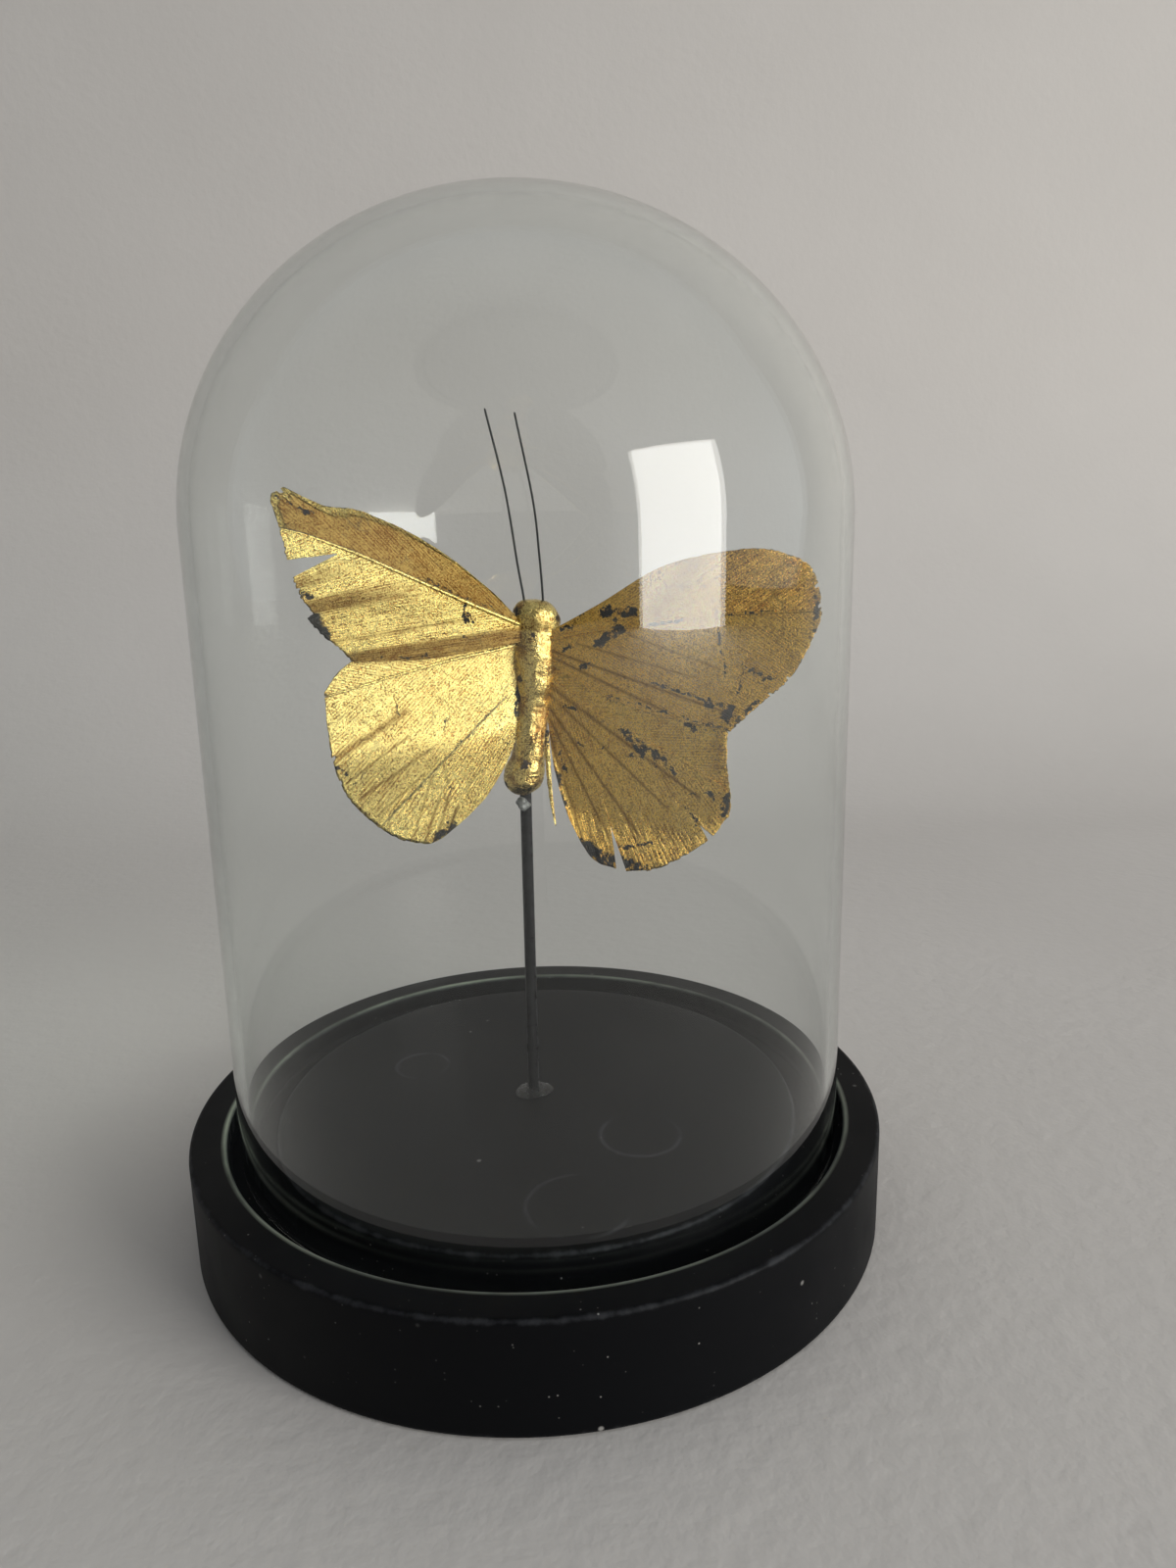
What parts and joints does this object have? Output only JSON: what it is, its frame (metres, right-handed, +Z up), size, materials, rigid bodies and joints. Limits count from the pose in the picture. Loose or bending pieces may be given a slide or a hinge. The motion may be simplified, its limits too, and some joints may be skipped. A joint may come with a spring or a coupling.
{
  "type": "insect in glass dome",
  "caption": "Gilded feather butterfly on a thin black rod, standing on a turned black base under a clear round-topped glass dome that lifts off.",
  "frame": {"origin": "middle of the base's flat underside", "axes": "+Z up, the butterfly faces -Y, +X to the right as seen from its front"},
  "size_m": [0.17, 0.17, 0.2372],
  "materials": {
    "black_wood": "satin black lacquer",
    "clear_glass": "clear blown glass",
    "black_steel": "satin black",
    "clear_glue": "hazy clear glue",
    "gold_leaf_body": "gold leaf over a light moulded core",
    "gold_leaf_feather": "gold leaf over black feather",
    "black_wire": "satin black"
  },
  "bodies": {
    "root": {"base": "black_wood", "glass_dome": "clear_glass", "rod": "black_steel", "foot_glue": "clear_glue", "tail_glue": "clear_glue", "body": "gold_leaf_body", "left_forewing": "gold_leaf_feather", "left_hindwing": "gold_leaf_feather", "right_forewing": "gold_leaf_feather", "right_hindwing": "gold_leaf_feather", "tail_strip": "gold_leaf_feather", "left_antenna": "black_wire", "right_antenna": "black_wire"}
  },
  "joints": []
}
